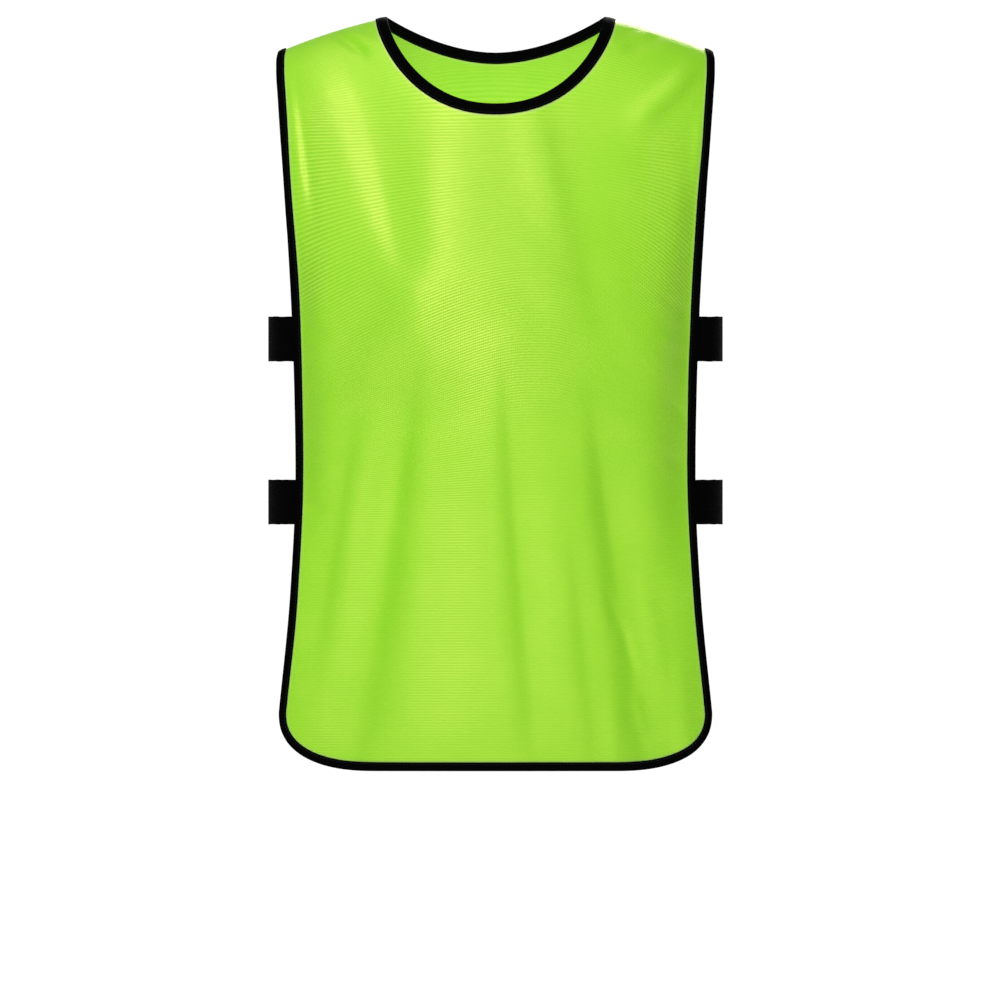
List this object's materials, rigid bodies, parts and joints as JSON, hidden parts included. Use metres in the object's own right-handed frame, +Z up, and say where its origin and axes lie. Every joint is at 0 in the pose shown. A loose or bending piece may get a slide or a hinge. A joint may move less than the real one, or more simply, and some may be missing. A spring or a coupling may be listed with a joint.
{
  "type": "mesh training bib",
  "caption": "Sleeveless pullover sports bib in its worn form: mesh front and back joined at the shoulders and by elastic side straps, with taped edges and open sides.",
  "frame": {"origin": "midway between the two shoulder seams, level with the points 139 mm off the middle where they bear on the shoulders", "axes": "+Z up, -Y out of the front of the chest, +X towards the wearer's left"},
  "size_m": [0.409, 0.2403, 0.6798],
  "materials": {
    "mesh_cloth": "satin knit mesh",
    "black_tape": "matt folded tape",
    "black_elastic": "matt woven elastic"
  },
  "bodies": {
    "root": {"front_panel": "mesh_cloth", "back_panel": "mesh_cloth", "neck_binding": "black_tape", "edge_binding": "black_tape", "strap_left_upper": "black_elastic", "strap_left_lower": "black_elastic", "strap_right_upper": "black_elastic", "strap_right_lower": "black_elastic"}
  },
  "joints": []
}
